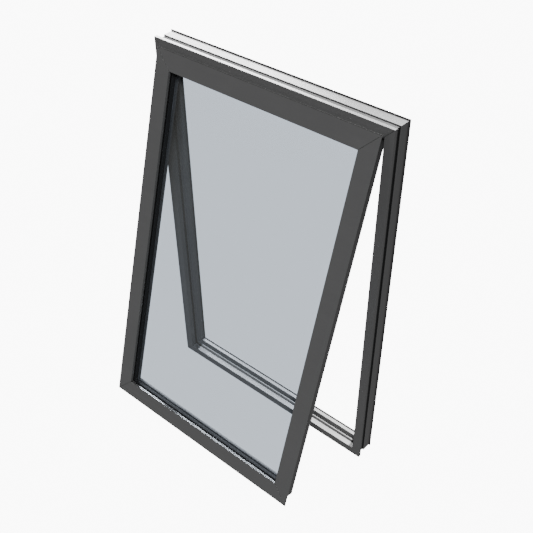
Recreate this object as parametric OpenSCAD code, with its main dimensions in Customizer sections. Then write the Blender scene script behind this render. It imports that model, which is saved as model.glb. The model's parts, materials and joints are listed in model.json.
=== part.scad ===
// Awning window: a top-hung double-glazed sash in a hollow aluminium frame.
// Millimetres, +Z up, +Y into the building. The origin is the middle of the
// sill flange's underside.

/* [Window] */
// Overall width of the outer frame
frame_w = 600; // [440:10:1200]
// Overall height of the outer frame
frame_h = 900; // [520:10:1500]
// Angle at which the sash stands open
open_angle = 17; // [0:0.1:30]

/* [Frame section] */
// Width of the frame's front face
frame_face = 20.3; // [19:0.1:26]
// Depth of the frame from front to back
frame_d = 50; // [46:0.5:70]
// Wall thickness of the frame and sash sections
wall = 2; // [1.6:0.1:2.2]
// Depth of the front flange round the outside
flange_d = 8; // [7:0.5:10]
// Depth of the fixing channel below the flange's outer face
channel_h = 6; // [5:0.5:7]
// Setback of the outer face behind the channel
rear_inset = 3; // [2:0.1:3.4]
// Thickness of the lip at the back edge
rear_lip = 1.6; // [1.2:0.1:2.4]
// Depth of the rebate ledge from the front face
ledge_d = 18; // [18:0.5:20]
// Height of the seal step at the back of the ledge
step_h = 3; // [2.6:0.1:4]
// Depth of the seal step
step_d = 6.5; // [5:0.5:6.5]
// Height of the upstand above the seal step
upstand_h = 12; // [9:0.5:16]
// Depth of the upstand in front of its back lip
upstand_d = 10.3; // [8:0.1:11]
// Height of the lip on the back edge of the upstand
back_lip_h = 3; // [1:0.1:3.4]
// Thickness of the lip on the back edge of the upstand
back_lip_t = 1.5; // [1.2:0.1:1.8]

/* [Sash section] */
// Lap of the sash lip over the frame's front face
lip_lap = 1.8; // [1:0.1:2.2]
// Overhang of the sash lip beyond the sash tube
lip_over = 11; // [11:0.1:12]
// Thickness of the sash lip
lip_t = 3; // [2.4:0.1:3.6]
// Thickness left at the edge of the sash lip, which is bevelled behind
lip_edge = 0.8; // [0.5:0.1:1.4]
// Width of the sash face
sash_face = 40.5; // [38:0.5:50]
// Depth of the glazing nose at the sash face
nose_d = 6.5; // [6:0.1:8]
// Height of the nose above the glazing pocket floor
nose_h = 15; // [13:0.5:18]
// Gap between the closed sash and the frame upstand
rear_gap = 1.3; // [1.1:0.1:2]

/* [Glazing] */
// Thickness of each pane
pane_t = 4; // [3:0.5:6]
// Gap between the panes
cavity = 9; // [6:0.5:12]
// Thickness of the outer gasket between nose and glass
outer_gasket_t = 3; // [2.5:0.1:4]
// Thickness of the inner gasket between glass and bead
inner_gasket_t = 2.5; // [2:0.1:4]
// Depth of the glazing bead
bead_d = 7; // [6:0.5:10]
// Gap between the glass edge and the pocket floor
edge_gap = 4; // [3:0.5:5]
// Length of a setting block
block_len = 80; // [50:5:110]

/* [Hinge] */
// Distance of the hinge axis behind the frame's front face
hinge_y = 10.25; // [9.8:0.05:10.8]
// Distance of the hinge axis below the head ledge
hinge_drop = 4.7; // [4.6:0.05:4.9]
// Radius of the hinge bead
bead_r = 2.5; // [2.3:0.05:2.6]
// Running clearance of the hook on the bead
hook_clear = 0.05; // [0.02:0.01:0.1]
// Wall thickness of the hook
hook_wall = 1.35; // [1.2:0.05:1.4]
// Thickness of the hinge rails' base plates
plate_t = 1.5; // [1.2:0.1:1.5]
// Drop of the weather flap below the head ledge
flap_h = 3; // [2:0.1:3.2]
// Largest angle of the sash from closed
swing = 30; // [24:1:30]
// Number of screws in each hinge rail
screw_count = 5; // [3:1:7]

/* [Fixing] */
// Radius of the fixing holes in the jamb channels
fix_r = 2.1; // [1.6:0.1:2.7]
// Distance of a fixing hole from the end of its jamb
fix_inset = 150; // [100:5:200]

/* [Hidden] */
// Circles are drawn with this many sides
$fn = 64;
// Extra length of a cutting body past the face that it cuts
past = 1;
// Frame front plane, placed so that the flange's middle is at Y = 0
front_y = -flange_d / 2;
// Front plane of the frame upstand
riser_y = ledge_d + step_d;
// Front of the upstand's back lip, and back of the upstand
back_lip_y = riser_y + upstand_d;
upstand_y = back_lip_y + back_lip_t;
// Rear wall of the fixing channel
channel_y = riser_y;
// Inward heights of the frame section's steps
step_u = frame_face + step_h;
upstand_u = step_u + upstand_h;
chamber_u = channel_h + wall;
// Rebate seal: how far it stands out, its height and its root
seal_d = 4.9;
seal_h = 1.9;
root_d = 1.2;
root_h = 1;
root_u = 0.6;
// Sash outline when closed
sash_margin = frame_face - lip_lap;
sash_w = frame_w - 2 * sash_margin;
sash_h = frame_h - 2 * sash_margin;
// Heights in the sash section, measured inward from the lip's edge
pocket_w = sash_face - nose_h;
glass_w = pocket_w + edge_gap;
// Depths in the sash section, measured back from the sash face
glass_n = nose_d + outer_gasket_t;
unit_d = 2 * pane_t + cavity;
bead_n = glass_n + unit_d + inner_gasket_t;
sash_d = bead_n + bead_d;
proud = sash_d + rear_gap - riser_y;
// Glazing bead: wall, chamfer and clip tongue
bead_wall = 1.5;
bead_chamfer = 2.4;
clip_d = 1.8;
clip_h = 1.2;
clip_clear = 0.1;
clip_n = bead_n + bead_d / 2;
// Gasket roots in the nose and in the sash's back face
gasket_root = 1.6;
gasket_root_d = 1.2;
gasket_lap = 8;
rear_seal_t = 1.1;
rear_seal_h = 4;
rear_root_h = 1.5;
rear_root_d = 1;
// Spacer and edge sealant of the glass unit
sealant_h = 3;
spacer_h = 7;
spacer_wall = 0.6;
// Hinge axis and hook
axis_y = front_y + hinge_y;
axis_z = frame_h - frame_face - hinge_drop;
hook_r = bead_r + hook_clear;
hook_out = hook_r + hook_wall;
hook_open = 57;
hook_n = hinge_y + proud;
hook_w = frame_face + hinge_drop - sash_margin;
stem_t = 2.2;
// Hinge rails: lengths, plate edges and screws
bead_rail_len = frame_w - 2 * frame_face - 4;
hook_rail_len = sash_w - 2 * lip_over - 12;
flap_t = 1.4;
plate_back = 13;
hook_plate_front = 3;
hook_plate_back = 11;
stop_gap = 0.5;
stop_r = 4;
screw_r = 1.5;
screw_head_r = 2.6;
screw_len = 7;
screw_clear = 0.05;
screw_inset = 45;
bead_screw_y = 5.2;
hook_screw_n = 7.4;
// Corner cleats: length of the legs and depth of the blocks
cleat_leg = 55;
cleat_gap = 0.5;
sash_cleat_n = 6;
sash_cleat_d = 17;

// Node to draw, or all of them

// Takes a bar that is drawn as a bottom member to another side of a w by h outline
module on_side(side, w, h) {
    if (side == "bottom") {
        children();
    }
    if (side == "top") {
        translate([0, 0, h]) rotate([0, 180, 0]) children();
    }
    if (side == "left") {
        translate([-w / 2, 0, h / 2]) rotate([0, 90, 0]) children();
    }
    if (side == "right") {
        translate([w / 2, 0, h / 2]) rotate([0, -90, 0]) children();
    }
}

// Length of a member on a side
function side_len(side, w, h) = (side == "left" || side == "right") ? h : w;

// Straight bar along X; its section is drawn as depth by inward height
module bar(len) {
    rotate([90, 0, 90])
        translate([0, 0, -len / 2])
            linear_extrude(height = len)
                children();
}

// Bar whose two ends are cut at 45 degrees
module mitred_bar(len) {
    reach = len / 2 - past;
    back = frame_d + sash_d;
    intersection() {
        bar(len) children();
        rotate([90, 0, 0])
            translate([0, 0, -back])
                linear_extrude(height = 2 * back)
                    polygon([
                        [-len / 2, 0],
                        [len / 2, 0],
                        [len / 2 - reach, reach],
                        [reach - len / 2, reach]
                    ]);
    }
}

// Mitred member of the frame
module frame_member(side) {
    translate([0, front_y, 0])
        on_side(side, frame_w, frame_h)
            mitred_bar(side_len(side, frame_w, frame_h))
                children();
}

// Turns the closed sash about the hinge axis to where it stands open
module hung() {
    translate([0, axis_y, axis_z])
        rotate([-open_angle, 0, 0])
            translate([0, -axis_y, -axis_z])
                translate([0, front_y - proud, sash_margin])
                    children();
}

// Mitred member of the sash
module sash_member(side) {
    hung()
        on_side(side, sash_w, sash_h)
            mitred_bar(side_len(side, sash_w, sash_h))
                children();
}

// Frame section: flange, fixing channel, rebate, seal step, upstand and rear leg
module frame_section() {
    leg_u = rear_inset + wall;
    difference() {
        polygon([
            [0, 0],
            [flange_d, 0],
            [flange_d, channel_h],
            [channel_y, channel_h],
            [channel_y, rear_inset],
            [frame_d - rear_lip, rear_inset],
            [frame_d - rear_lip, 0],
            [frame_d, 0],
            [frame_d, leg_u],
            [upstand_y, leg_u],
            [upstand_y, upstand_u + back_lip_h],
            [back_lip_y, upstand_u + back_lip_h],
            [back_lip_y, upstand_u],
            [riser_y, upstand_u],
            [riser_y, step_u],
            [ledge_d, step_u],
            [ledge_d, frame_face],
            [0, frame_face]
        ]);
        polygon([
            [wall, wall],
            [flange_d - wall, wall],
            [flange_d - wall, chamber_u],
            [riser_y, chamber_u],
            [riser_y, frame_face - wall],
            [wall, frame_face - wall]
        ]);
        translate([riser_y + wall, leg_u])
            square([upstand_y - riser_y - 2 * wall, upstand_u - wall - leg_u]);
        translate([ledge_d - past, frame_face + root_u])
            square([root_d + past, root_h]);
    }
}

// Rebate seal with its root in the step's groove
module frame_seal_section() {
    polygon([
        [ledge_d - seal_d, frame_face],
        [ledge_d, frame_face],
        [ledge_d, frame_face + root_u],
        [ledge_d + root_d, frame_face + root_u],
        [ledge_d + root_d, frame_face + root_u + root_h],
        [ledge_d, frame_face + root_u + root_h],
        [ledge_d, frame_face + seal_h],
        [ledge_d - seal_d * 0.4, frame_face + seal_h],
        [ledge_d - seal_d, frame_face + seal_h / 3]
    ]);
}

// Sash section: lip, hollow tube and hollow glazing nose
module sash_section() {
    difference() {
        polygon([
            [0, 0],
            [lip_edge, 0],
            [lip_t, lip_t - lip_edge],
            [lip_t, lip_over],
            [sash_d, lip_over],
            [sash_d, pocket_w],
            [nose_d, pocket_w],
            [nose_d, sash_face],
            [0, sash_face]
        ]);
        polygon([
            [wall, lip_over + wall],
            [sash_d - wall, lip_over + wall],
            [sash_d - wall, pocket_w - clip_h - wall],
            [bead_n - wall, pocket_w - clip_h - wall],
            [bead_n - wall, pocket_w - wall],
            [nose_d - gasket_root_d - wall / 2, pocket_w - wall],
            [nose_d - gasket_root_d - wall / 2, sash_face - wall],
            [wall, sash_face - wall]
        ]);
        translate([clip_n - clip_d / 2 - clip_clear, pocket_w - clip_h - clip_clear])
            square([clip_d + 2 * clip_clear, clip_h + clip_clear + past]);
        translate([nose_d - gasket_root_d, sash_face - gasket_lap / 2 - gasket_root / 2])
            square([gasket_root_d + past, gasket_root]);
        translate([sash_d - rear_root_d, lip_over + rear_seal_h / 2])
            square([rear_root_d + past, rear_root_h]);
    }
}

// Outer gasket between nose and glass, with its root in the nose
module outer_gasket_section() {
    union() {
        polygon([
            [nose_d, sash_face - gasket_lap],
            [glass_n, sash_face - gasket_lap],
            [glass_n, sash_face - 0.4],
            [glass_n - 0.6, sash_face],
            [nose_d, sash_face]
        ]);
        translate([nose_d - gasket_root_d, sash_face - gasket_lap / 2 - gasket_root / 2])
            square([gasket_root_d + outer_gasket_t / 2, gasket_root]);
    }
}

// Wedge gasket between glass and bead
module inner_gasket_section() {
    polygon([
        [bead_n - inner_gasket_t, sash_face - gasket_lap],
        [bead_n - inner_gasket_t / 2, sash_face - gasket_lap - 1],
        [bead_n, sash_face - gasket_lap],
        [bead_n, sash_face - 0.8],
        [bead_n - inner_gasket_t, sash_face - 0.2]
    ]);
}

// Hollow glazing bead with its clip tongue
module bead_section() {
    difference() {
        union() {
            polygon([
                [bead_n, pocket_w],
                [sash_d, pocket_w],
                [sash_d, sash_face - bead_chamfer],
                [sash_d - bead_chamfer, sash_face],
                [bead_n, sash_face]
            ]);
            translate([clip_n - clip_d / 2, pocket_w - clip_h])
                square([clip_d, clip_h + bead_wall]);
        }
        polygon([
            [bead_n + bead_wall, pocket_w + bead_wall],
            [sash_d - bead_wall, pocket_w + bead_wall],
            [sash_d - bead_wall, sash_face - bead_chamfer - bead_wall / 2],
            [sash_d - bead_chamfer - bead_wall / 2, sash_face - bead_wall],
            [bead_n + bead_wall, sash_face - bead_wall]
        ]);
    }
}

// Compression seal on the back of the sash
module rear_seal_section() {
    union() {
        polygon([
            [sash_d, lip_over + 1],
            [sash_d + rear_seal_t, lip_over + 1.6],
            [sash_d + rear_seal_t, lip_over + rear_seal_h + 0.4],
            [sash_d, lip_over + rear_seal_h + 1]
        ]);
        translate([sash_d - rear_root_d, lip_over + rear_seal_h / 2])
            square([rear_root_d + rear_seal_t / 2, rear_root_h]);
    }
}

// Countersunk screw along +Z with its head's face at Z = 0
module screw(extra) {
    rotate_extrude()
        polygon([
            [0, -extra],
            [screw_head_r + extra, -extra],
            [screw_head_r + extra, 0],
            [screw_r + extra, plate_t],
            [screw_r + extra, screw_len + extra],
            [0, screw_len + extra]
        ]);
}

// Row of screws along X
module screw_row(len, extra) {
    pitch = (len - 2 * screw_inset) / (screw_count - 1);
    for (i = [0 : screw_count - 1]) {
        translate([i * pitch + screw_inset - len / 2, 0, 0])
            screw(extra);
    }
}

// Screws that hold the bead rail up to the head ledge
module bead_screws(extra) {
    translate([0, front_y + bead_screw_y, frame_h - frame_face - plate_t])
        screw_row(bead_rail_len, extra);
}

// Screws that hold the hook rail down on the sash
module hook_screws(extra) {
    hung()
        translate([0, hook_n + hook_screw_n, sash_h - lip_over + plate_t])
            rotate([180, 0, 0])
                screw_row(hook_rail_len, extra);
}

// L-shaped blocks at the four corners of a w by h outline
module cleat_set(w, h, u0, u1, y0, y1) {
    for (side = [0, 1]) {
        mirror([side, 0, 0]) {
            for (end = [0, 1]) {
                translate([0, 0, end * h])
                    mirror([0, 0, end])
                        translate([-w / 2, y1, 0])
                            rotate([90, 0, 0])
                                linear_extrude(height = y1 - y0)
                                    polygon([
                                        [u0, u0],
                                        [u0 + cleat_leg, u0],
                                        [u0 + cleat_leg, u1],
                                        [u1, u1],
                                        [u1, u0 + cleat_leg],
                                        [u0, u0 + cleat_leg]
                                    ]);
            }
        }
    }
}

// Flat sheet in the sash between two depths and at one edge height
module sash_sheet(edge, n0, n1) {
    hung()
        translate([edge - sash_w / 2, n0, edge])
            cube([sash_w - 2 * edge, n1 - n0, sash_h - 2 * edge]);
}

// Two bored fixing holes through a jamb's channel floor
module fixing_holes(side) {
    mid_y = front_y + (flange_d + channel_y) / 2;
    for (end = [-1, 1]) {
        translate([side * frame_w / 2, mid_y, frame_h / 2 + end * (frame_h / 2 - fix_inset)])
            rotate([0, -90 * side, 0])
                translate([0, 0, -past])
                    cylinder(r = fix_r, h = chamber_u + 2 * past);
    }
}

module frame_head() {
    color([0.07, 0.07, 0.075])
        difference() {
            frame_member("top") frame_section();
            bead_screws(screw_clear);
        }
}

module frame_sill() {
    color([0.07, 0.07, 0.075])
        frame_member("bottom") frame_section();
}

module frame_left_jamb() {
    color([0.07, 0.07, 0.075])
        difference() {
            frame_member("left") frame_section();
            fixing_holes(-1);
        }
}

module frame_right_jamb() {
    color([0.07, 0.07, 0.075])
        difference() {
            frame_member("right") frame_section();
            fixing_holes(1);
        }
}

module frame_corner_cleats() {
    color([0.62, 0.62, 0.64])
        cleat_set(
            frame_w, frame_h, chamber_u, frame_face - wall,
            front_y + flange_d + cleat_gap, front_y + riser_y
        );
}

module frame_seal_head() {
    color([0.01, 0.01, 0.01])
        frame_member("top") frame_seal_section();
}

module frame_seal_sill() {
    color([0.01, 0.01, 0.01])
        frame_member("bottom") frame_seal_section();
}

module frame_seal_left() {
    color([0.01, 0.01, 0.01])
        frame_member("left") frame_seal_section();
}

module frame_seal_right() {
    color([0.01, 0.01, 0.01])
        frame_member("right") frame_seal_section();
}

// Fixed half of the hinge: base plate, weather flap, stem and round bead
module hinge_bead_rail() {
    color([0.07, 0.07, 0.075])
        difference() {
            translate([0, front_y, 0])
                on_side("top", frame_w, frame_h)
                    bar(bead_rail_len)
                        union() {
                            translate([0, frame_face])
                                square([plate_back, plate_t]);
                            translate([0, frame_face])
                                square([flap_t, flap_h]);
                            translate([hinge_y - stem_t / 2, frame_face])
                                square([stem_t, hinge_drop]);
                            translate([hinge_y, frame_face + hinge_drop])
                                circle(r = bead_r);
                        }
            bead_screws(screw_clear);
        }
}

module hinge_bead_screws() {
    color([0.6, 0.6, 0.6])
        bead_screws(0);
}

// Stops pushed on the bead at both ends of the hook rail
module hinge_end_stops() {
    stop_len = (bead_rail_len - hook_rail_len) / 2 - stop_gap;
    color([0.02, 0.02, 0.02])
        translate([0, front_y, 0])
            on_side("top", frame_w, frame_h)
                for (end = [-1, 1]) {
                    translate([end * (bead_rail_len - stop_len) / 2, 0, 0])
                        bar(stop_len)
                            difference() {
                                union() {
                                    translate([hinge_y, frame_face + hinge_drop])
                                        circle(r = stop_r);
                                    translate([hinge_y - stop_r, frame_face + plate_t])
                                        square([2 * stop_r, hinge_drop - plate_t]);
                                }
                                translate([hinge_y, frame_face + hinge_drop])
                                    circle(r = hook_r);
                                translate([hinge_y - stem_t / 2 - hook_clear, frame_face])
                                    square([stem_t + 2 * hook_clear, hinge_drop]);
                                translate([hinge_y - stop_r - past, frame_face - past])
                                    square([2 * stop_r + 2 * past, plate_t + past]);
                            }
                }
}

module sash_top_rail() {
    color([0.08, 0.08, 0.085])
        difference() {
            sash_member("top") sash_section();
            hook_screws(screw_clear);
        }
}

module sash_bottom_rail() {
    color([0.08, 0.08, 0.085])
        sash_member("bottom") sash_section();
}

module sash_left_stile() {
    color([0.08, 0.08, 0.085])
        sash_member("left") sash_section();
}

module sash_right_stile() {
    color([0.08, 0.08, 0.085])
        sash_member("right") sash_section();
}

module sash_corner_cleats() {
    color([0.62, 0.62, 0.64])
        hung()
            cleat_set(
                sash_w, sash_h, lip_over + wall, pocket_w - clip_h - wall,
                sash_cleat_n, sash_cleat_n + sash_cleat_d
            );
}

// Moving half of the hinge: base plate and hook round the bead
module hinge_hook_rail() {
    mid = -90 - swing / 2;
    far = 4 * hook_out;
    color([0.08, 0.08, 0.085])
        difference() {
            hung()
                on_side("top", sash_w, sash_h)
                    bar(hook_rail_len)
                        difference() {
                            union() {
                                translate([hook_n, hook_w])
                                    circle(r = hook_out);
                                translate([hook_n - hook_plate_front, lip_over - plate_t])
                                    square([hook_plate_front + hook_plate_back, plate_t]);
                            }
                            translate([hook_n, hook_w])
                                circle(r = hook_r);
                            translate([hook_n, hook_w])
                                polygon([
                                    [0, 0],
                                    [far * cos(mid - hook_open), far * sin(mid - hook_open)],
                                    [far * cos(mid), far * sin(mid)],
                                    [far * cos(mid + hook_open), far * sin(mid + hook_open)]
                                ]);
                        }
            hook_screws(screw_clear);
        }
}

module hinge_hook_screws() {
    color([0.6, 0.6, 0.6])
        hook_screws(0);
}

module outer_gasket_top() {
    color([0.01, 0.01, 0.01])
        sash_member("top") outer_gasket_section();
}

module outer_gasket_bottom() {
    color([0.01, 0.01, 0.01])
        sash_member("bottom") outer_gasket_section();
}

module outer_gasket_left() {
    color([0.01, 0.01, 0.01])
        sash_member("left") outer_gasket_section();
}

module outer_gasket_right() {
    color([0.01, 0.01, 0.01])
        sash_member("right") outer_gasket_section();
}

module outer_pane() {
    color([0.3, 0.34, 0.4, 0.35])
        sash_sheet(glass_w, glass_n, glass_n + pane_t);
}

module inner_pane() {
    color([0.3, 0.34, 0.4, 0.35])
        sash_sheet(glass_w, glass_n + pane_t + cavity, glass_n + unit_d);
}

// Hollow spacer bar round the edge of the glass unit
module spacer_frame() {
    color([0.05, 0.05, 0.05])
        union() {
            for (side = ["top", "bottom", "left", "right"]) {
                sash_member(side)
                    difference() {
                        translate([glass_n + pane_t, glass_w + sealant_h])
                            square([cavity, spacer_h]);
                        translate([glass_n + pane_t + spacer_wall, glass_w + sealant_h + spacer_wall])
                            square([cavity - 2 * spacer_wall, spacer_h - 2 * spacer_wall]);
                    }
            }
        }
}

// Sealant outside the spacer, level with the glass edges
module edge_sealant() {
    color([0.01, 0.01, 0.01])
        difference() {
            sash_sheet(glass_w, glass_n + pane_t, glass_n + pane_t + cavity);
            sash_sheet(glass_w + sealant_h, glass_n + pane_t - past, glass_n + pane_t + cavity + past);
        }
}

// Blocks that centre the glass unit in the sash
module setting_blocks() {
    color([0.02, 0.02, 0.02])
        hung()
            for (side = ["bottom", "left", "right", "top"]) {
                reach = side_len(side, sash_w, sash_h) / 4;
                on_side(side, sash_w, sash_h)
                    for (end = [-1, 1]) {
                        translate([end * reach - block_len / 2, glass_n, pocket_w])
                            cube([block_len, unit_d, edge_gap]);
                    }
            }
}

module inner_gasket_top() {
    color([0.01, 0.01, 0.01])
        sash_member("top") inner_gasket_section();
}

module inner_gasket_bottom() {
    color([0.01, 0.01, 0.01])
        sash_member("bottom") inner_gasket_section();
}

module inner_gasket_left() {
    color([0.01, 0.01, 0.01])
        sash_member("left") inner_gasket_section();
}

module inner_gasket_right() {
    color([0.01, 0.01, 0.01])
        sash_member("right") inner_gasket_section();
}

module bead_top() {
    color([0.08, 0.08, 0.085])
        sash_member("top") bead_section();
}

module bead_bottom() {
    color([0.08, 0.08, 0.085])
        sash_member("bottom") bead_section();
}

module bead_left() {
    color([0.08, 0.08, 0.085])
        sash_member("left") bead_section();
}

module bead_right() {
    color([0.08, 0.08, 0.085])
        sash_member("right") bead_section();
}

module rear_seal_top() {
    color([0.01, 0.01, 0.01])
        sash_member("top") rear_seal_section();
}

module rear_seal_bottom() {
    color([0.01, 0.01, 0.01])
        sash_member("bottom") rear_seal_section();
}

module rear_seal_left() {
    color([0.01, 0.01, 0.01])
        sash_member("left") rear_seal_section();
}

module rear_seal_right() {
    color([0.01, 0.01, 0.01])
        sash_member("right") rear_seal_section();
}

frame_head();
frame_sill();
frame_left_jamb();
frame_right_jamb();
frame_corner_cleats();
frame_seal_head();
frame_seal_sill();
frame_seal_left();
frame_seal_right();
hinge_bead_rail();
hinge_bead_screws();
hinge_end_stops();
sash_top_rail();
sash_bottom_rail();
sash_left_stile();
sash_right_stile();
sash_corner_cleats();
hinge_hook_rail();
hinge_hook_screws();
outer_gasket_top();
outer_gasket_bottom();
outer_gasket_left();
outer_gasket_right();
outer_pane();
inner_pane();
spacer_frame();
edge_sealant();
setting_blocks();
inner_gasket_top();
inner_gasket_bottom();
inner_gasket_left();
inner_gasket_right();
bead_top();
bead_bottom();
bead_left();
bead_right();
rear_seal_top();
rear_seal_bottom();
rear_seal_left();
rear_seal_right();
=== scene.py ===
import json
import math

import bpy
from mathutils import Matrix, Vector

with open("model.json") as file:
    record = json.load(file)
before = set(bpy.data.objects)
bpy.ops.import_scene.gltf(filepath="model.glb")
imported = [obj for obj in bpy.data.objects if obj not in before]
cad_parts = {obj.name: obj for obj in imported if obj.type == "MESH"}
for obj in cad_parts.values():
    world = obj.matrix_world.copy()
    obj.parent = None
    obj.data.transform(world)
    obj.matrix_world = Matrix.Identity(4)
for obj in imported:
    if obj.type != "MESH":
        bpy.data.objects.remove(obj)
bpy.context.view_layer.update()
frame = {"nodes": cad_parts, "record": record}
nodes = frame["nodes"]
print("frame loaded:", len(nodes), "nodes")

camSpec = {
    "eye": (0.9377, -1.0592, 1.5745),  # metres, in the window's own frame
    "forward": (-0.4754, 0.5566, -0.6814),
    "lens": 53.44,  # mm
    "sensor": 36.0,  # mm
    "shift": (-0.0212, 0.1132),
    "clip": (0.05, 50.0),  # metres
}


def addPointed(name, data, toward):
    # a camera or lamp that looks along a direction
    made = bpy.data.objects.new(name, data)
    bpy.context.scene.collection.objects.link(made)
    made.rotation_mode = "QUATERNION"
    made.rotation_quaternion = Vector(toward).to_track_quat("-Z", "Y")
    return made


def addCamera(spec):
    data = bpy.data.cameras.new("photoCamera")
    data.sensor_width = spec["sensor"]
    data.lens = spec["lens"]
    data.shift_x, data.shift_y = spec["shift"]
    data.clip_start, data.clip_end = spec["clip"]
    camera = addPointed("photoCamera", data, spec["forward"])
    camera.location = spec["eye"]
    bpy.context.scene.camera = camera


addCamera(camSpec)
print("camera placed")


class Val:
    # a shader socket that takes part in Python expressions
    def __init__(self, tree, socket):
        self.tree = tree
        self.socket = socket

    def math(self, operation, *values):
        made = self.tree.nodes.new("ShaderNodeMath")
        made.operation = operation
        for index, value in enumerate(values):
            if isinstance(value, Val):
                self.tree.links.new(value.socket, made.inputs[index])
            else:
                made.inputs[index].default_value = value
        return Val(self.tree, made.outputs[0])

    def __add__(self, other):
        return self.math("ADD", self, other)

    def __radd__(self, other):
        return self.math("ADD", other, self)

    def __sub__(self, other):
        return self.math("SUBTRACT", self, other)

    def __rsub__(self, other):
        return self.math("SUBTRACT", other, self)

    def __mul__(self, other):
        return self.math("MULTIPLY", self, other)

    def __rmul__(self, other):
        return self.math("MULTIPLY", other, self)

    def __truediv__(self, other):
        return self.math("DIVIDE", self, other)

    def __rtruediv__(self, other):
        return self.math("DIVIDE", other, self)

    def __lt__(self, other):
        return self.math("LESS_THAN", self, other)

    def __gt__(self, other):
        return self.math("GREATER_THAN", self, other)

    def __abs__(self):
        return self.math("ABSOLUTE", self)

    def least(self, other):
        return self.math("MINIMUM", self, other)

    def most(self, other):
        return self.math("MAXIMUM", self, other)

    def fraction(self):
        return self.math("FRACT", self)


class Finish:
    # one node tree and the shorthand for filling it
    def __init__(self, name, tree=None):
        if tree is None:
            self.material = bpy.data.materials.new(name)
            self.material.use_nodes = True
            tree = self.material.node_tree
        self.tree = tree
        tree.nodes.clear()

    def node(self, kind, settings=None, sockets=None, output=0):
        made = self.tree.nodes.new(kind)
        for key, value in (settings or {}).items():
            setattr(made, key, value)
        for key, value in (sockets or {}).items():
            socket = made.inputs[key]
            if isinstance(value, Val):
                self.tree.links.new(value.socket, socket)
            elif socket.type == "RGBA":
                socket.default_value = (*value[:3], 1.0)
            else:
                socket.default_value = value
        return Val(self.tree, made.outputs[output]) if made.outputs else None

    def place(self):
        return self.node("ShaderNodeTexCoord", output="Object")

    def sideways(self, vector):
        return self.node("ShaderNodeSeparateXYZ", {}, {0: vector}, "X")

    def along(self, vector, origin, direction):
        # distance from a point, measured along a direction
        shifted = self.node("ShaderNodeVectorMath", {"operation": "SUBTRACT"}, {
            0: vector, 1: origin})
        return self.node("ShaderNodeVectorMath", {"operation": "DOT_PRODUCT"}, {
            0: shifted, 1: direction}, "Value")

    def noise(self, vector, scale, detail=2.0, roughness=0.5):
        return self.node("ShaderNodeTexNoise", {}, {
            "Vector": vector, "Scale": scale, "Detail": detail, "Roughness": roughness})

    def streaks(self, vector, factors, detail=3.0):
        # noise with its own scale along each axis
        drawn = self.node("ShaderNodeVectorMath", {"operation": "MULTIPLY"}, {
            0: vector, 1: factors})
        return self.noise(drawn, 1.0, detail)

    def ramp(self, value, low, high, toLow=0.0, toHigh=1.0):
        return self.node("ShaderNodeMapRange", {"interpolation_type": "SMOOTHSTEP"}, {
            "Value": value, "From Min": low, "From Max": high, "To Min": toLow, "To Max": toHigh})

    def mix(self, share, first, second):
        return self.node("ShaderNodeMix", {"data_type": "RGBA"}, {
            0: share, 6: first, 7: second}, 2)

    def bump(self, height, distance):
        return self.node("ShaderNodeBump", {}, {
            "Height": height, "Distance": distance, "Strength": 1.0})

    def body(self, sockets):
        return self.node("ShaderNodeBsdfPrincipled", {}, sockets)

    def output(self, surface, kind="ShaderNodeOutputMaterial"):
        self.node(kind, {}, {"Surface": surface})


def scaled(colour, factor):
    return tuple(part * factor for part in colour)


noiseMiddle = 0.5  # what a noise texture gives on average

# where the members stand: the outer frame upright, the sash turned open about its hinge
framePlan = {"top": (0.0, -0.004, 0.9), "angle": 0.0, "half": 0.3, "long": 0.9}
sashHang = {
    "axis": (0.00625, 0.875),  # y and z of the hinge line
    "face": -0.0168,  # y of the closed sash's outer face
    "top": 0.8815,  # z of its top edge
    "angle": 17.0,
    "half": 0.2815,
    "long": 0.863,
}


def hungPlan(hang):
    turn = math.radians(hang["angle"])
    y = hang["face"] - hang["axis"][0]
    z = hang["top"] - hang["axis"][1]
    top = (
        0.0,
        hang["axis"][0] + y * math.cos(turn) + z * math.sin(turn),
        hang["axis"][1] - y * math.sin(turn) + z * math.cos(turn),
    )
    return {"top": top, "angle": hang["angle"], "half": hang["half"], "long": hang["long"]}


sashPlan = hungPlan(sashHang)


class Spot:
    # where a shaded point lies on a plan, in metres
    def __init__(self, made, plan):
        self.made = made
        self.plan = plan
        self.turn = math.radians(plan["angle"])
        self.place = made.place()
        self.x = made.sideways(self.place)

    def drop(self):
        down = (0.0, -math.sin(self.turn), -math.cos(self.turn))
        return self.made.along(self.place, self.plan["top"], down)

    def depth(self):
        back = (0.0, math.cos(self.turn), -math.sin(self.turn))
        return self.made.along(self.place, self.plan["top"], back)

    def fromSide(self):
        return self.plan["half"] - abs(self.x)

    def fromEnd(self):
        drop = self.drop()
        return drop.least(self.plan["long"] - drop)

    def fromEdge(self):
        return self.fromSide().least(self.fromEnd())


coatSpec = {
    "frame": (0.040, 0.040, 0.0405),  # charcoal powder coat, linear
    "sash": (0.038, 0.038, 0.0385),
    "paler": 1.5,  # the shade that patches, bumps and wipe marks go towards
    "cloud": 11.0,  # cloudy patches to a metre
    "cloudBand": (0.35, 0.7),
    "cloudShade": 0.07,
    "cloudRough": 0.10,
    "peel": 1300.0,  # orange-peel bumps to a metre
    "peelShade": 0.35,
    "peelDepth": 0.000012,
    "wipe": (14.0, 90.0, 90.0),  # faint wipe marks to a metre, along each axis
    "wipeShade": 0.2,
    "wipeRough": 0.08,
    "roughness": 0.32,
    "specular": 0.5,
    "bevel": 0.00035,
}
jointSpec = {
    "half": 0.0005,  # half width of the sealed mitre line
    "soft": 2.2,  # where it has faded out, times the half width
    "shade": 0.4,  # of the coat's own colour
    "rough": 0.3,
    "dip": 12.0,  # how far it lies below the bumps
}


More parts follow.
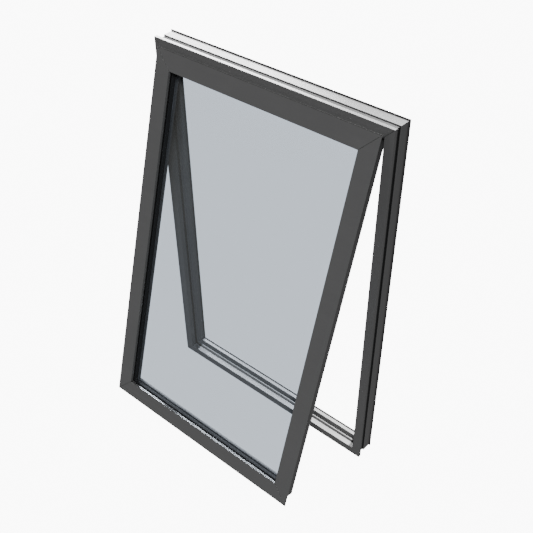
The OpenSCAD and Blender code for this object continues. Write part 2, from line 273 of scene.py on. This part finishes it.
def coatFinish(name, colour, plan, marks):
    spec = coatSpec
    made = Finish(name)
    spot = Spot(made, plan)
    offMitre = abs(spot.fromSide() - spot.fromEnd())  # zero on the 45 degree joints
    faded = jointSpec["half"] * jointSpec["soft"]
    joint = made.ramp(offMitre, jointSpec["half"], faded, toLow=1.0, toHigh=0.0)
    peel = made.noise(spot.place, spec["peel"])
    cloud = made.noise(spot.place, spec["cloud"], detail=4.0, roughness=0.6)
    wiped = made.streaks(spot.place, spec["wipe"])
    shade = made.ramp(cloud, *spec["cloudBand"]) * spec["cloudShade"]
    shade = shade + (peel - noiseMiddle) * spec["peelShade"]
    shade = shade + (wiped - noiseMiddle) * spec["wipeShade"]
    coat = made.mix(shade, colour, scaled(colour, spec["paler"]))
    shown = made.mix(joint, coat, scaled(colour, jointSpec["shade"]))
    rough = spec["roughness"] + (cloud - noiseMiddle) * spec["cloudRough"]
    rough = rough + (wiped - noiseMiddle) * spec["wipeRough"] + joint * jointSpec["rough"]
    shown, rough = marks(made, spot, colour, shown, rough)
    made.output(made.body({
        "Base Color": shown, "Roughness": rough, "Specular IOR Level": spec["specular"],
        "Normal": made.bump(peel - joint * jointSpec["dip"], spec["peelDepth"])}))
    return made.material


channelShadeSpec = {
    "depths": (0.008, 0.0245),  # of the fixing channel behind the front face
    "slack": 0.0004,
    "floor": (0.0032, 0.0055, 0.0070),  # below the outer face: first shade, full shade, end
    "shade": 0.06,  # painted shade on the channel floor, near black
    "thinner": 0.15,  # how much less of the painted shade is in the head and sill
    "rough": 0.6,
}
lipShadowSpec = {
    "lines": (  # painted shadow lines before the back lips: two depths, then nearest and furthest from the edge
        (0.0458, 0.0488, -0.001, 0.0036),
        (0.0322, 0.0351, 0.0345, 0.0381),
    ),
    "soft": 0.0006,
    "shade": 0.05,
    "rough": 0.6,
}


def frameMarks(made, spot, colour, shown, rough):
    depth, fromSide, fromEnd = spot.depth(), spot.fromSide(), spot.fromEnd()
    fromEdge = fromSide.least(fromEnd)
    spec = channelShadeSpec
    front, rear = spec["depths"]
    first, full, end = spec["floor"]
    # painted shade on the floor of the fixing channel, where the flange shades it; fainter in the
    # head and sill
    channelShade = made.ramp(fromEdge, first, full) * (fromEdge < end)
    channelShade = channelShade * (depth > front - spec["slack"]) * (depth < rear + spec["slack"])
    level = fromEnd < fromSide  # in the head and sill
    channelShadeCover = channelShade * (1 - level * spec["thinner"])
    shown = made.mix(channelShadeCover, shown, scaled(colour, spec["shade"]))
    rough = rough + channelShade * level * spec["rough"]
    spec = lipShadowSpec
    # painted shadow lines on the ledges just before the back lips
    for first, end, near, far in spec["lines"]:
        line = made.ramp(depth, first, first + spec["soft"]) * (depth < end)
        line = line * (fromEdge > near) * (fromEdge < far)
        shown = made.mix(line, shown, scaled(colour, spec["shade"]))
        rough = rough + line * spec["rough"]
    return shown, rough


revealSpec = {
    "depths": (0.0006, 0.0066),  # polished ledge before the glass
    "reach": 0.0400,  # from the sash's edge
    "smooth": 0.15,
}
beadShadeSpec = {
    "depths": (0.0288, 0.0350),  # painted shade and dullness on the bead behind the glass
    "reach": 0.0375,  # from the sash's edge
    "inside": 0.45,  # how much of the painted shade and dullness is left at the last depth
    "shade": 0.4,
    "rough": 0.5,
}
topEdgeShadeSpec = {"drops": (0.0007, 0.0013), "shade": 0.2}  # painted shade along the sash's top edge


def sashMarks(made, spot, colour, shown, rough):
    depth, fromEdge = spot.depth(), spot.fromEdge()
    spec = revealSpec
    first, end = spec["depths"]
    polished = (fromEdge > spec["reach"]) * (depth < end) * (depth > first)
    rough = rough - polished * spec["smooth"]
    spec = beadShadeSpec
    first, end = spec["depths"]
    # painted shade on the bead behind the glass, darkest at the first depth, with rougher coat
    beadShadeAndDull = made.ramp(depth, first, end, toLow=1.0, toHigh=spec["inside"])
    beadShadeAndDull = beadShadeAndDull * (depth > first) * (fromEdge > spec["reach"])
    shown = made.mix(beadShadeAndDull, shown, scaled(colour, spec["shade"]))
    rough = rough + beadShadeAndDull * spec["rough"]
    # painted shade along the sash's top edge
    topEdgeShade = made.ramp(spot.drop(), *topEdgeShadeSpec["drops"], toLow=1.0, toHigh=0.0)
    return made.mix(topEdgeShade, shown, scaled(colour, topEdgeShadeSpec["shade"])), rough


rubberSpec = {
    "black": (0.0025, 0.0025, 0.0026),
    "wedge": (0.020, 0.020, 0.0205),  # the paler wedge gaskets behind the glass
    "bloom": 2.0,  # pale film in the patches, times the colour
    "patch": 25.0,  # patches to a metre
    "patchBand": (0.45, 0.75),
    "patchRough": 0.2,
    "grain": 1800.0,
    "grainShare": 0.5,
    "grainDepth": 0.00004,
    "roughness": 0.72,
    "specular": 0.12,
    "bevel": 0.0002,
}


def rubberFinish(name, colour, spec):
    made = Finish(name)
    place = made.place()
    grain = made.noise(place, spec["grain"], detail=3.0, roughness=0.6)
    patch = made.noise(place, spec["patch"], detail=3.0)
    grained = (1 - spec["grainShare"]) + grain * spec["grainShare"]
    bloomed = made.ramp(patch, *spec["patchBand"]) * grained
    made.output(made.body({
        "Base Color": made.mix(bloomed, colour, scaled(colour, spec["bloom"])),
        "Roughness": spec["roughness"] + (patch - noiseMiddle) * spec["patchRough"],
        "Normal": made.bump(grain, spec["grainDepth"]),
        "Specular IOR Level": spec["specular"]}))
    return made.material


glassSpec = {
    "passes": (0.900, 0.920, 0.945),  # colour that one face lets through
    "film": (0.42, 0.41, 0.38),  # pale bloom on the faces
    "share": 0.015,  # of the film
    "smudge": 0.006,  # more of it in the haze
    "wiped": (0.050, 0.066),  # in from the edge: clean to the first, filmed from the second
    "wipedShare": 0.15,
    "smudges": 5.0,  # to a metre
    "smudgeBand": (0.4, 0.75),
    "streaks": (60.0, 6.0, 6.0),
    "streakShare": 0.3,  # of the haze
    "roughness": 0.04,
    "hazeRough": 0.10,
    "specular": 0.5,
}


def glassFinish(name, spec, plan):
    made = Finish(name)
    spot = Spot(made, plan)
    filmed = made.ramp(spot.fromEdge(), *spec["wiped"], toLow=spec["wipedShare"])
    smudge = made.noise(spot.place, spec["smudges"], detail=5.0, roughness=0.65)
    smudge = made.ramp(smudge, *spec["smudgeBand"])
    streak = made.streaks(spot.place, spec["streaks"])
    haze = smudge * (1 - spec["streakShare"]) + streak * spec["streakShare"]
    clear = made.node("ShaderNodeBsdfTransparent", {}, {"Color": spec["passes"]})
    film = made.body({
        "Base Color": spec["film"], "Roughness": spec["roughness"] + haze * spec["hazeRough"],
        "Specular IOR Level": spec["specular"]})
    made.output(made.node("ShaderNodeMixShader", {}, {
        0: (spec["share"] + haze * spec["smudge"]) * filmed, 1: clear, 2: film}))
    return made.material


spacerSpec = {
    "colour": (0.0065, 0.0065, 0.0069),  # dark bar
    "tones": (0.8, 1.4),
    "brush": (40.0, 900.0, 40.0),  # brushed lines to a metre, along each axis
    "brushRough": 0.15,
    "brushDepth": 0.3,  # of the holes' depth
    "pitch": 0.004,  # of the vent holes
    "holeHalf": 0.0004,
    "holeDepth": 0.0002,
    # near-black painted shade in the vent holes
    "hole": (0.002, 0.002, 0.002),
    "middle": 0.018,  # of the cavity behind the sash face
    "sideBand": 0.045,  # what counts as a side length, from the sash's edge
    "roughness": 0.72,
    "specular": 0.12,
}


def spacerFinish(name, spec, plan):
    made = Finish(name)
    spot = Spot(made, plan)
    onSide = abs(spot.x) > plan["half"] - spec["sideBand"]
    run = onSide * spot.drop() + (1 - onSide) * spot.x
    step = abs((run / spec["pitch"]).fraction() - 0.5) * spec["pitch"]  # zero at each hole
    # vent holes in a row, painted near black as shade
    hole = step.most(abs(spot.depth() - spec["middle"])) < spec["holeHalf"]
    brushed = made.streaks(spot.place, spec["brush"])
    dark, pale = (scaled(spec["colour"], tone) for tone in spec["tones"])
    made.output(made.body({
        "Base Color": made.mix(hole, made.mix(brushed, dark, pale), spec["hole"]),
        "Roughness": spec["roughness"] + brushed * spec["brushRough"],
        "Normal": made.bump(brushed * spec["brushDepth"] - hole, spec["holeDepth"]),
        "Specular IOR Level": spec["specular"]}))
    return made.material


millSpec = {
    "colour": (0.60, 0.60, 0.62),
    "darker": 0.75,
    "drawn": (900.0, 30.0, 900.0),  # lines left by the die, to a metre
    "drawnShare": 0.5,
    "drawnRough": 0.2,
    "drawnDepth": 0.00003,
    "stain": 60.0,
    "stainShare": 0.3,
    "roughness": 0.32,
}


def millFinish(name, spec):
    made = Finish(name)
    place = made.place()
    drawn = made.streaks(place, spec["drawn"])
    stain = made.noise(place, spec["stain"], detail=4.0)
    pale = drawn * spec["drawnShare"] + stain * spec["stainShare"]
    made.output(made.body({
        "Base Color": made.mix(pale, scaled(spec["colour"], spec["darker"]), spec["colour"]),
        "Roughness": spec["roughness"] + drawn * spec["drawnRough"], "Metallic": 1.0,
        "Normal": made.bump(drawn, spec["drawnDepth"])}))
    return made.material


screwSpec = {
    "colour": (0.55, 0.55, 0.56),
    "darker": 0.7,
    "turned": (300.0, 300.0, 2500.0),  # turning marks to a metre
    "turnedRough": 0.2,
    "turnedDepth": 0.05,  # of the recess
    # near-black painted shade in the crossed slots of the drive recess
    "recess": (0.02, 0.02, 0.02),
    "recessReach": 0.0016,  # half length of the crossed slots
    "recessHalf": 0.00035,
    "recessDepth": 0.0005,
    "recessRough": 0.3,
    "recessDull": 0.6,
    "roughness": 0.28,
}
screwRows = {  # pitch along the rail, and the depth of the line that they stand on
    "hinge_bead_screws": {
        "finish": "beadScrewSteel", "pitch": 0.11635, "line": 0.0052, "plan": framePlan},
    "hinge_hook_screws": {
        "finish": "hookScrewSteel", "pitch": 0.10975, "line": 0.03045, "plan": sashPlan},
}


def screwFinish(row, spec):
    made = Finish(row["finish"])
    spot = Spot(made, row["plan"])
    across = ((spot.x / row["pitch"] + 0.5).fraction() - 0.5) * row["pitch"]  # zero at each screw
    wide, deep = abs(across), abs(spot.depth() - row["line"])
    # crossed slots of the drive recess, painted near black as shade
    cross = (wide.most(deep) < spec["recessReach"]) * (wide.least(deep) < spec["recessHalf"])
    turned = made.streaks(spot.place, spec["turned"], detail=2.0)
    tone = made.mix(turned, scaled(spec["colour"], spec["darker"]), spec["colour"])
    rough = spec["roughness"] + turned * spec["turnedRough"] + cross * spec["recessRough"]
    made.output(made.body({
        "Base Color": made.mix(cross, tone, spec["recess"]), "Roughness": rough,
        "Metallic": 1.0 - cross * spec["recessDull"],
        "Normal": made.bump(turned * spec["turnedDepth"] - cross, spec["recessDepth"])}))
    return made.material


nylonSpec = {
    "colour": (0.014, 0.014, 0.0145),
    "paler": 1.8,
    "grain": 900.0,
    "grainShare": 0.4,
    "grainDepth": 0.00003,
    "flow": (40.0, 400.0, 400.0),  # moulding streaks to a metre
    "flowShare": 0.3,
    "flowRough": 0.15,
    "roughness": 0.48,
}


def nylonFinish(name, spec):
    made = Finish(name)
    place = made.place()
    grain = made.noise(place, spec["grain"], detail=3.0)
    flow = made.streaks(place, spec["flow"], detail=2.0)
    pale = grain * spec["grainShare"] + flow * spec["flowShare"]
    made.output(made.body({
        "Base Color": made.mix(pale, spec["colour"], scaled(spec["colour"], spec["paler"])),
        "Roughness": spec["roughness"] + flow * spec["flowRough"],
        "Normal": made.bump(grain, spec["grainDepth"])}))
    return made.material


finishOf = {
    "frame_coat": coatFinish("frameCoat", coatSpec["frame"], framePlan, frameMarks),
    "sash_coat": coatFinish("sashCoat", coatSpec["sash"], sashPlan, sashMarks),
    "mill_aluminium": millFinish("millAluminium", millSpec),
    "seal_rubber": rubberFinish("sealRubber", rubberSpec["black"], rubberSpec),
    "nylon": nylonFinish("blackNylon", nylonSpec),
    "spacer_metal": spacerFinish("spacerBar", spacerSpec, sashPlan),
    "glass": glassFinish("paneGlass", glassSpec, sashPlan),
}
wedgeRubber = rubberFinish("wedgeRubber", rubberSpec["wedge"], rubberSpec)
ownFinishOf = {"inner_gasket_" + side: wedgeRubber for side in ("top", "bottom", "left", "right")}
for name, row in screwRows.items():
    ownFinishOf[name] = screwFinish(row, screwSpec)

softSpec = {"weld": 0.00001, "segments": 2, "angle": 40.0, "flatness": 100}
bevelOf = {
    "frame_coat": coatSpec["bevel"],
    "sash_coat": coatSpec["bevel"],
    "seal_rubber": rubberSpec["bevel"],
}


def soften(piece, width, spec):
    weld = piece.modifiers.new("weld", "WELD")
    weld.merge_threshold = spec["weld"]
    edge = piece.modifiers.new("softEdges", "BEVEL")
    edge.width = width
    edge.segments = spec["segments"]
    edge.limit_method = "ANGLE"
    edge.angle_limit = math.radians(spec["angle"])
    edge.use_clamp_overlap = False
    flat = piece.modifiers.new("flatFaces", "WEIGHTED_NORMAL")  # keeps the broad faces flat
    flat.weight = spec["flatness"]


slotOf = {row["node"]: row["material_slot"] for row in frame["record"]["subparts"]}
for name, piece in nodes.items():
    slot = slotOf[name]
    piece.data.materials.clear()
    piece.data.materials.append(ownFinishOf.get(name) or finishOf[slot])
    if slot in bevelOf and not name.startswith("hinge"):  # the hinge keeps its fit
        soften(piece, bevelOf[slot], softSpec)
print("finishes set:", len(set(finishOf.values()) | set(ownFinishOf.values())))

studioSpec = {
    "white": 10.0,  # the backdrop as the lens sees it
    "behindGlass": (1.170, 1.203, 1.225),  # the backdrop seen through the panes
    "fill": 0.20,  # light that the backdrop throws on the window
    "floor": 6.0,  # half width, metres
}


def backdropLight(made, spec):
    rays = made.node("ShaderNodeLightPath").socket.node
    seen = Val(made.tree, rays.outputs["Is Camera Ray"])
    through = Val(made.tree, rays.outputs["Transparent Depth"]) > 0.5  # past a pane
    straight = made.mix(through, (spec["white"],) * 3, spec["behindGlass"])
    return made.mix(seen, (spec["fill"],) * 3, straight)


def addBackdrop(spec):
    half = spec["floor"]
    corners = [(-half, -half, 0), (half, -half, 0), (half, half, 0), (-half, half, 0)]
    mesh = bpy.data.meshes.new("floor")
    mesh.from_pydata(corners, [], [(0, 1, 2, 3)])
    floor = bpy.data.objects.new("floor", mesh)
    bpy.context.scene.collection.objects.link(floor)
    pale = Finish("paleFloor")
    pale.output(pale.node("ShaderNodeEmission", {}, {
        "Color": backdropLight(pale, spec), "Strength": 1.0}))
    mesh.materials.append(pale.material)
    world = bpy.data.worlds.new("studio")
    bpy.context.scene.world = world
    world.use_nodes = True
    sky = Finish("studio", world.node_tree)
    sky.output(sky.node("ShaderNodeBackground", {}, {
        "Color": backdropLight(sky, spec), "Strength": 1.0}), "ShaderNodeOutputWorld")


addBackdrop(studioSpec)
print("backdrop set")

sunSpec = {
    "key": {"toward": (-0.40, 0.59, -0.70), "energy": 8.0, "spread": 20.0},
    "overhead": {"toward": (0.05, -0.33, -0.94), "energy": 38.0, "spread": 3.0},
}
boxSpec = {  # softboxes behind the window, for the gleam on its ledges
    "high": {
        "from": (-4.73, 3.69, 3.65), "aim": (0.0, 0.0, 0.8),
        "size": (3.1, 1.5), "radiance": 50.0},
    "sill": {
        "from": (-0.80, 1.75, 2.65), "aim": (0.2, 0.0, 0.0),
        "size": (0.6, 0.5), "radiance": 27.0},
    "low": {
        "from": (-1.10, 1.54, 1.02), "aim": (0.0, -0.25, 0.1),
        "size": (1.5, 0.8), "radiance": 15.0},
}


def addSun(name, spec):
    sun = bpy.data.lights.new(name, "SUN")
    sun.energy = spec["energy"]
    sun.angle = math.radians(spec["spread"])
    addPointed(name, sun, spec["toward"])


def addSoftbox(name, spec):
    box = bpy.data.lights.new(name, "AREA")
    box.shape = "RECTANGLE"
    box.size, box.size_y = spec["size"]
    box.energy = spec["radiance"] * math.pi * box.size * box.size_y
    lamp = addPointed(name, box, Vector(spec["aim"]) - Vector(spec["from"]))
    lamp.location = spec["from"]
    lamp.visible_camera = False


for name, row in sunSpec.items():
    addSun(name, row)
for name, row in boxSpec.items():
    addSoftbox(name, row)
print("studio lit:", len(sunSpec) + len(boxSpec), "lamps")
